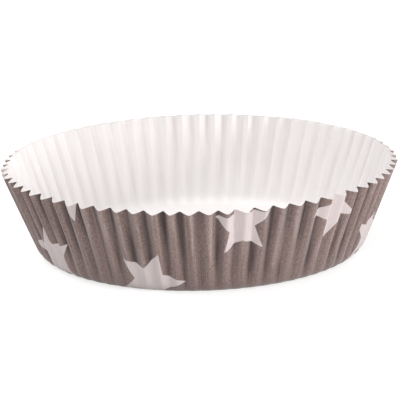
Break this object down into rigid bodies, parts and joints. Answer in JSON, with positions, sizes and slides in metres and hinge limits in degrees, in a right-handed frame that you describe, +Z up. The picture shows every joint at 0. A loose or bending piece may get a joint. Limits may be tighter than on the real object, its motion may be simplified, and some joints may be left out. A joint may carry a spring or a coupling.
{
  "type": "paper tart baking mould",
  "caption": "Round paper baking case for a tart, pressed from one greaseproof blank, with a flat floor and a flaring pleated wall that ends in a raw wavy rim.",
  "frame": {"origin": "on the table under the middle of the flat floor", "axes": "+Z up along the axis of the case, out of its open mouth; the case is the same all round, and an inner fold of the pleats lies on +X"},
  "size_m": [0.1962, 0.1962, 0.0451],
  "materials": {
    "printed_card": "matt taupe print with pale stars on the outside, white greaseproof face on the inside"
  },
  "bodies": {
    "root": {"pleated_case": "printed_card"}
  },
  "joints": []
}
